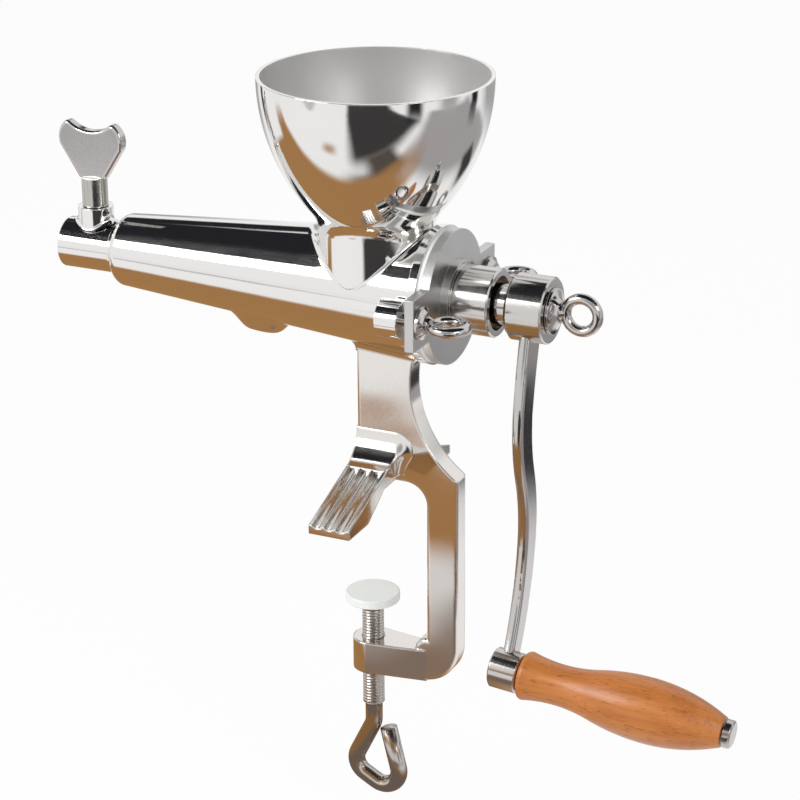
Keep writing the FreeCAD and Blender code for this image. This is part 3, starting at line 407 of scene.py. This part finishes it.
def hopper_material(outside):
    """A metal's copy that is satin inside, where the wall faces the hopper's axis."""
    material = outside.copy()
    material.name = "hopper_steel"
    tree = material.node_tree
    shader = tree.nodes["Principled BSDF"]
    place = add_node(tree, "ShaderNodeTexCoord")
    offset = add_node(tree, "ShaderNodeVectorMath", operation="SUBTRACT")
    offset.inputs[1].default_value = (hopper_x, 0, 0)
    tree.links.new(place.outputs["Object"], offset.inputs[0])
    level = add_node(tree, "ShaderNodeVectorMath", operation="MULTIPLY")
    level.inputs[1].default_value = (1, 1, 0)
    tree.links.new(offset.outputs["Vector"], level.inputs[0])
    facing_out = add_node(tree, "ShaderNodeVectorMath", operation="DOT_PRODUCT")
    tree.links.new(level.outputs["Vector"], facing_out.inputs[0])
    tree.links.new(place.outputs["Normal"], facing_out.inputs[1])
    inside = spread(tree, facing_out.outputs["Value"], 1.0, 0.0, HOPPER_TURNOVER, 0.0)
    clouds = noise(tree, coordinates(tree, ROUND_Z_GRAIN), detail=GRAIN_DETAIL)
    outside_roughness = shader.inputs["Roughness"].links[0].from_socket
    inside_roughness = spread(tree, clouds, *HOPPER_INSIDE_SHINE)
    roughness = mix_numbers(tree, inside, outside_roughness, inside_roughness)
    tree.links.new(roughness, shader.inputs["Roughness"])
    tree.links.new(spread(tree, inside, 1.0, HOPPER_INSIDE_METAL, 0.0, 1.0), shader.inputs["Metallic"])
    tree.links.new(ramp(tree, inside, [(0.0, STEEL), (1.0, HOPPER_INSIDE_TONE)]), shader.inputs["Base Color"])
    return material


polished = metal("polished_steel", STEEL, shine=(0.03, 0.09), grain=2e-7, dents=1.2e-4, edge=0.7 * MM)
cast = metal("polished_casting", CASTING, shine=(0.05, 0.12), grain=4e-7, dents=2.2e-3, edge=1.6 * MM,
             dent_scale=CASTING_SCALE)
dull = metal("dull_polish", DULL, shine=(0.08, 0.16), grain=4e-7, dents=1.2e-4, edge=0.7 * MM)
brushed = metal("brushed_steel", BRUSHED, shine=(0.10, 0.18), grain=1.2e-6, dents=2e-5, edge=0.5 * MM,
                stretch=ROUND_X_GRAIN)
plated = metal("plated_steel", PLATING, shine=(0.12, 0.22), grain=6e-7, dents=4e-5, edge=0.3 * MM)
satin = metal("satin_cover", COVER, shine=(0.3, 0.42), grain=6e-6, dents=3e-5, edge=0.6 * MM)
bronze = metal("bronze", BRONZE, shine=(0.22, 0.35), grain=4e-6, dents=2e-5, edge=0.3 * MM,
               stretch=ROUND_X_GRAIN)

# The CAD nodes of each finish
finishes = {
    hopper_material(polished): ["hopper"],
    polished: ["barrel", "barrel_flange", "cover_bolt_bosses", "outlet_nozzle", "choke_boss",
               "juice_drain"],
    cast: ["clamp_frame"],
    dull: ["choke_wing", "crank_arm", "front_cover_bolt", "back_cover_bolt", "crank_bolt",
           "front_bolt_washer", "back_bolt_washer", "crank_bolt_washer"],
    brushed: ["bearing_housing", "press_screw", "crank_boss", "grip_boss", "strainer"],
    plated: ["choke_screw", "grip_pin", "clamp_screw"],
    satin: ["end_cover"],
    bronze: ["shaft_bush", "thrust_washer"],
    white_plastic_material(): ["cover_gasket", "clamp_pad"],
    wood_material(): ["wood_grip"],
}
for finish, names in finishes.items():
    for node_name in names:
        node_mesh = nodes[node_name].data
        node_mesh.materials.clear()
        node_mesh.materials.append(finish)


def new_piece(name, build, material, body):
    """A smooth mesh piece, made by a function that fills a bmesh, that rides on a body."""
    shape = bmesh.new()
    build(shape)
    bmesh.ops.recalc_face_normals(shape, faces=shape.faces)
    mesh = bpy.data.meshes.new(name)
    shape.to_mesh(mesh)
    shape.free()
    mesh.materials.append(material)
    mesh.shade_smooth()
    mesh.set_sharp_from_angle(angle=radians(SHARP_ANGLE))
    piece = bpy.data.objects.new(name, mesh)
    bpy.context.collection.objects.link(piece)
    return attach(piece, body)


def grid(shape, rows, closed):
    """Faces between rows of points; closed joins the last row to the first."""
    made = [[shape.verts.new(point) for point in row] for row in rows]
    following = made[1:] + made[:1] if closed else made[1:]
    for row, after in zip(made, following):
        for column in range(len(row) - 1):
            shape.faces.new((row[column], row[column + 1], after[column + 1], after[column]))


def ease(share):
    """A share from 0 to 1 that starts and ends gently."""
    return share * share * (3 - 2 * share)


def barrel_radius(x):
    """The barrel's outer radius at a place along X."""
    return BARREL_SMALL + barrel_taper * (x - barrel_low.x)


def below_barrel(x, y, drop):
    """A point a drop below the barrel's underside."""
    radius = barrel_radius(x)
    return Vector((x, y, axis_height - sqrt(max(radius * radius - y * y, 0.0)) - drop))


def weld_arc(centre, to_wall, to_tube, radius):
    """The arc of a ball about a centre, from where it touches a wall to where it touches a tube."""
    whole_turn = to_wall.rotation_difference(to_tube)
    row = []
    for step in range(WELD_ARC_STEPS + 1):
        turn = Quaternion().slerp(whole_turn, step / WELD_ARC_STEPS)
        row.append(centre + turn @ to_wall * radius)
    return row


def weld_row(foot, outward, radius, side):
    """The cross-section of a weld that a ball of a radius leaves between a wall and the barrel.

    foot is the wall's (x, y), outward its normal, and side is 1 above the barrel and -1 below.
    """
    x = foot[0] + outward[0] * radius
    y = foot[1] + outward[1] * radius
    reach = barrel_radius(x) + radius * sqrt(1 + barrel_taper * barrel_taper)
    height = side * sqrt(max(reach * reach - y * y, 0.0))
    centre = Vector((x, y, axis_height + height))
    to_wall = Vector((-outward[0], -outward[1], 0))
    to_barrel = -Vector((-barrel_taper, y / reach, height / reach)).normalized()
    return weld_arc(centre, to_wall, to_barrel, radius)


def neck_weld(shape):
    """The weld round the hopper's neck, small where the neck comes near the flange."""
    neck = barrel_radius(hopper_x) - NECK_INSET
    rows = []
    for step in range(WELD_STEPS):
        angle = tau * step / WELD_STEPS
        outward = (cos(angle), sin(angle))
        share = (1 - cos(angle)) / 2
        radius = NECK_WELD_AT_FLANGE + (NECK_WELD - NECK_WELD_AT_FLANGE) * share
        foot = (hopper_x + neck * outward[0], neck * outward[1])
        rows.append(weld_row(foot, outward, radius, 1))
    grid(shape, rows, True)


def choke_weld(shape):
    """The weld round the choke's collar on the nozzle."""
    collar_radius = (collar_high.x - collar_low.x) / 2
    reach = nozzle_radius + CHOKE_WELD
    rows = []
    for step in range(WELD_STEPS):
        angle = tau * step / WELD_STEPS
        out = Vector((cos(angle), sin(angle), 0))
        aside = out * (collar_radius + CHOKE_WELD)
        height = sqrt(reach * reach - aside.y * aside.y)
        centre = aside + Vector((collar_x, 0, axis_height + height))
        to_nozzle = -Vector((0, aside.y / reach, height / reach))
        rows.append(weld_arc(centre, -out, to_nozzle, CHOKE_WELD))
    grid(shape, rows, True)


def leg_weld(shape):
    """The weld round the top of the clamp's leg, a rectangle with a ball's turn at each corner."""
    corners = [(LEG_RIGHT, LEG_HALF), (LEG_LEFT, LEG_HALF), (LEG_LEFT, -LEG_HALF), (LEG_RIGHT, -LEG_HALF)]
    rows = []
    for number, corner in enumerate(corners):
        for step in range(CORNER_STEPS + 1):
            angle = pi / 2 * (number + step / CORNER_STEPS)
            rows.append(weld_row(corner, (cos(angle), sin(angle)), LEG_WELD, -1))
    grid(shape, rows, True)


def drain_bump(shape):
    """The drain as a smooth bump on the barrel's underside, with its spout hole."""
    rows = []
    for step in range(WELD_STEPS + 1):
        angle = tau * step / WELD_STEPS
        row = []
        for part in range(BUMP_STEPS + 1):
            share = part / BUMP_STEPS
            radius = DRAIN_BASE + (DRAIN_HOLE - DRAIN_BASE) * share
            drop = (DRAIN_DROP + DRAIN_SINK) * ease(min(share / BUMP_SHOULDER, 1.0)) - DRAIN_SINK
            row.append(below_barrel(drain_x + radius * cos(angle), radius * sin(angle), drop))
        row.append(below_barrel(drain_x + DRAIN_HOLE * cos(angle), DRAIN_HOLE * sin(angle), 0.0))
        rows.append(row)
    grid(shape, rows, False)
    bmesh.ops.remove_doubles(shape, verts=shape.verts, dist=JOIN_GAP)


def toe_path():
    """Where a toe's root runs on the leg's face: base x and z, the turn of its way out, and its share.

    It runs along the toe's top, turns the corner and goes down the inner side to the arch.
    """
    path = [(LEG_LEFT, TOE_ROOT, 0.0, 1.0)]
    for step in range(2 * TOE_STEPS + 1):
        corner = min(step / TOE_STEPS, 1.0)
        down = max(step / TOE_STEPS - 1.0, 0.0)
        share = 1.0 + (TOE_BLEND_END - 1.0) * ease(step / (2 * TOE_STEPS))
        path.append((TOE_RIGHT, TOE_ROOT + (TOE_ARCH - TOE_ROOT) * down, corner * pi / 2, share))
    return path


def toe_section(blend):
    """The blend's closed cross-section: how far each point lies out from the toe and off the leg."""
    section = [(blend, -TOE_SINK)]
    for step in range(WELD_ARC_STEPS + 1):
        turn = pi / 2 * step / WELD_ARC_STEPS
        section.append((blend * (1 - sin(turn)), blend * (1 - cos(turn))))
    return section + [(-TOE_SINK, blend), (-TOE_SINK, -TOE_SINK), section[0]]


def toe_root(side):
    """A function that makes the blend of a toe's sloping top and inner side into the leg's face."""
    fall = (TOE_ROOT - TOE_TIP) / (toe_reach - LEG_HALF)

    def build(shape):
        rows = []
        for base_x, base_z, angle, share in toe_path():
            row = []
            for out, rise in toe_section(TOE_BLEND * share):
                x = base_x + sin(angle) * out
                z = base_z + cos(angle) * out - fall * rise
                row.append(Vector((x, side * (LEG_HALF + rise), z)))
            rows.append(row)
        grid(shape, rows, False)
        bmesh.ops.remove_doubles(shape, verts=shape.verts, dist=FINE_JOIN_GAP)
        bmesh.ops.holes_fill(shape, edges=shape.edges)

    return build


def is_shank(face):
    """Whether a face of the CAD screw is on its plain shank."""
    return all(abs(vert.co.to_2d().length - SHANK_RADIUS) < SHANK_TOLERANCE for vert in face.verts)


def thread_radius(height, angle):
    """The thread's radius at a height and an angle, with the groove running out at both ends."""
    turns = (height - thread_foot) / THREAD_PITCH
    place = (turns - angle / tau) % 1.0
    depth = THREAD_DEPTH * (1 - abs(2 * place - 1)) ** THREAD_FLANK
    turns_to_end = min(turns, (thread_top - height) / THREAD_PITCH)
    return SHANK_RADIUS - depth * min(turns_to_end, 1.0)


def threaded_screw(shape):
    """The CAD screw with a helical thread for its plain shank: the crest keeps the shank's radius."""
    shape.from_mesh(nodes["clamp_screw"].data)
    bmesh.ops.delete(shape, geom=[face for face in shape.faces if is_shank(face)], context="FACES")
    rise = THREAD_PITCH / THREAD_ROWS_PER_TURN
    rows = []
    for step in range(round((thread_top - thread_foot) / rise) + 1):
        height = min(thread_foot + step * rise, thread_top)
        row = []
        for side in range(THREAD_SIDES + 1):
            angle = tau * side / THREAD_SIDES
            radius = thread_radius(height, angle)
            row.append((radius * cos(angle), radius * sin(angle), height))
        rows.append(row)
    grid(shape, rows, False)
    bmesh.ops.remove_doubles(shape, verts=shape.verts, dist=JOIN_GAP)


new_piece("neck_weld", neck_weld, polished, "frame")
new_piece("choke_weld", choke_weld, polished, "frame")
new_piece("leg_weld", leg_weld, cast, "frame")
drain = new_piece("juice_drain_bump", drain_bump, polished, "frame")
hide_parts("juice_drain")
for toe_side, toe_name in ((-1, "front"), (1, "back")):
    new_piece(toe_name + "_toe_root", toe_root(toe_side), cast, "frame")
screw = new_piece("clamp_screw_threaded", threaded_screw, plated, "screw")
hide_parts("clamp_screw")


def direction(azimuth, elevation):
    """The unit vector from the object towards a place seen at an azimuth and elevation."""
    level = cos(radians(elevation))
    return Vector((level * sin(radians(azimuth)), -level * cos(radians(azimuth)), sin(radians(elevation))))


def facing(place):
    """The turn that points an object's -Z from a place to the object's middle."""
    return (FOCUS - place).to_track_quat("-Z", "Y").to_matrix().to_4x4()


def add_camera():
    """The photo's camera."""
    back = direction(CAMERA_AZIMUTH, CAMERA_ELEVATION)
    right = Vector((cos(radians(CAMERA_AZIMUTH)), sin(radians(CAMERA_AZIMUTH)), 0))
    up = back.cross(right)
    roll = radians(CAMERA_ROLL)
    across = right * cos(roll) + up * sin(roll)
    above = up * cos(roll) - right * sin(roll)
    target = right * TARGET_ASIDE + Vector((0, 0, TARGET_HEIGHT))
    place = target + back * CAMERA_DISTANCE
    data = bpy.data.cameras.new("photo_camera")
    data.lens = CAMERA_LENS
    data.sensor_width = CAMERA_SENSOR
    camera = bpy.data.objects.new("photo_camera", data)
    turn = Matrix((across, above, back)).transposed().to_4x4()
    camera.matrix_world = Matrix.Translation(place) @ turn
    bpy.context.collection.objects.link(camera)
    bpy.context.scene.camera = camera


def add_lamp(name, azimuth, elevation, distance, size, power):
    """A soft rectangular lamp aimed at the object."""
    data = bpy.data.lights.new(name, "AREA")
    data.shape = "RECTANGLE"
    data.size, data.size_y = size
    data.energy = power
    lamp = bpy.data.objects.new(name, data)
    place = FOCUS + direction(azimuth, elevation) * distance
    lamp.matrix_world = Matrix.Translation(place) @ facing(place)
    bpy.context.collection.objects.link(lamp)


def mix_to_output(tree, share, first, second):
    """Sends a mix of two shaders to the material's output."""
    mix = add_node(tree, "ShaderNodeMixShader")
    tree.links.new(share, mix.inputs["Fac"])
    tree.links.new(first, mix.inputs[1])
    tree.links.new(second, mix.inputs[2])
    tree.links.new(mix.outputs["Shader"], tree.nodes["Material Output"].inputs["Surface"])


def soft_border(tree, softness):
    """A mask that is 1 in the middle of a card and fades to 0 at its border."""
    place = add_node(tree, "ShaderNodeTexCoord")
    split = add_node(tree, "ShaderNodeSeparateXYZ")
    tree.links.new(place.outputs["Generated"], split.inputs["Vector"])
    masks = []
    for axis in ("X", "Y"):
        from_middle = maths(tree, "ABSOLUTE", maths(tree, "SUBTRACT", split.outputs[axis], CARD_MIDDLE))
        edge = add_node(tree, "ShaderNodeMapRange", interpolation_type="SMOOTHSTEP", from_min=CARD_MIDDLE,
                        from_max=CARD_MIDDLE - softness, to_min=0.0, to_max=1.0)
        tree.links.new(from_middle, edge.inputs["Value"])
        masks.append(edge.outputs["Result"])
    return maths(tree, "MULTIPLY", *masks)


def card_material(name, colour, softness):
    """A glow of one tone that fades out at the card's border."""
    material, tree, shader = new_material(name)
    glow = add_node(tree, "ShaderNodeEmission")
    glow.inputs["Color"].default_value = (*colour, 1.0)
    clear = add_node(tree, "ShaderNodeBsdfTransparent")
    mix_to_output(tree, soft_border(tree, softness), clear.outputs["BSDF"], glow.outputs["Emission"])
    tree.nodes.remove(shader)
    return material


def add_sheet(name, size, material, place, turn):
    """A flat stage sheet about a place, turned by a matrix."""
    x = size[0] / 2
    y = size[1] / 2
    mesh = bpy.data.meshes.new(name)
    mesh.from_pydata([(-x, -y, 0), (x, -y, 0), (x, y, 0), (-x, y, 0)], [], [(0, 1, 2, 3)])
    mesh.materials.append(material)
    sheet = bpy.data.objects.new(name, mesh)
    sheet.matrix_world = Matrix.Translation(place) @ turn
    bpy.context.collection.objects.link(sheet)
    return sheet


def add_card(name, size, colour, softness, place, turn):
    """A card that only reflections see."""
    sheet = add_sheet(name, size, card_material(name, colour, softness), place, turn)
    sheet.visible_camera = False
    sheet.visible_diffuse = False
    sheet.visible_shadow = False


def add_facing_card(name, azimuth, elevation, distance, size, colour, softness):
    """A card that faces the object from a direction."""
    place = FOCUS + direction(azimuth, elevation) * distance
    add_card(name, size, colour, softness, place, facing(place))


def add_floor_card(name, rise, low, high, colour, softness):
    """A card that lies flat above the floor between two (x, y) corners."""
    size = (high[0] - low[0], high[1] - low[1])
    place = Vector(((low[0] + high[0]) / 2, (low[1] + high[1]) / 2, floor_level + rise))
    add_card(name, size, colour, softness, place, Matrix.Identity(4))


def seen_white(tree, white):
    """The share of white that the camera, mirrors and glass see, and 0 for other light."""
    path = add_node(tree, "ShaderNodeLightPath")
    seen = path.outputs["Is Camera Ray"]
    for other in ("Is Glossy Ray", "Is Transmission Ray"):
        seen = maths(tree, "MAXIMUM", seen, path.outputs[other])
    return maths(tree, "MULTIPLY", seen, white)


def add_floor():
    """A pale floor under the object that keeps a faint shadow."""
    material, tree, shader = new_material("pale_floor")
    shader.inputs["Base Color"].default_value = (*FLOOR_TONE, 1.0)
    shader.inputs["Roughness"].default_value = FLOOR_ROUGHNESS
    glow = add_node(tree, "ShaderNodeEmission")
    mix_to_output(tree, seen_white(tree, FLOOR_WHITE), shader.outputs["BSDF"], glow.outputs["Emission"])
    place = Vector((0, 0, floor_level))
    add_sheet("floor", (FLOOR_SPAN, FLOOR_SPAN), material, place, Matrix.Identity(4))


def add_world():
    """Plain white surroundings: full white to the camera and to mirrors, softer as light."""
    world = bpy.data.worlds.new("studio")
    world.use_nodes = True
    tree = world.node_tree
    plain = tree.nodes["Background"]
    plain.inputs["Color"].default_value = (*WHITE, 1.0)
    strength = add_node(tree, "ShaderNodeMapRange", to_min=WORLD_LIGHT, to_max=1.0)
    tree.links.new(seen_white(tree, 1.0), strength.inputs["Value"])
    tree.links.new(strength.outputs["Result"], plain.inputs["Strength"])
    bpy.context.scene.world = world


add_camera()
add_world()
add_floor()
for lamp_values in LAMPS:
    add_lamp(*lamp_values)
for card_values in CARDS:
    add_facing_card(*card_values)
for card_values in FLOOR_CARDS:
    add_floor_card(*card_values)
bpy.context.scene.view_settings.view_transform = "Standard"
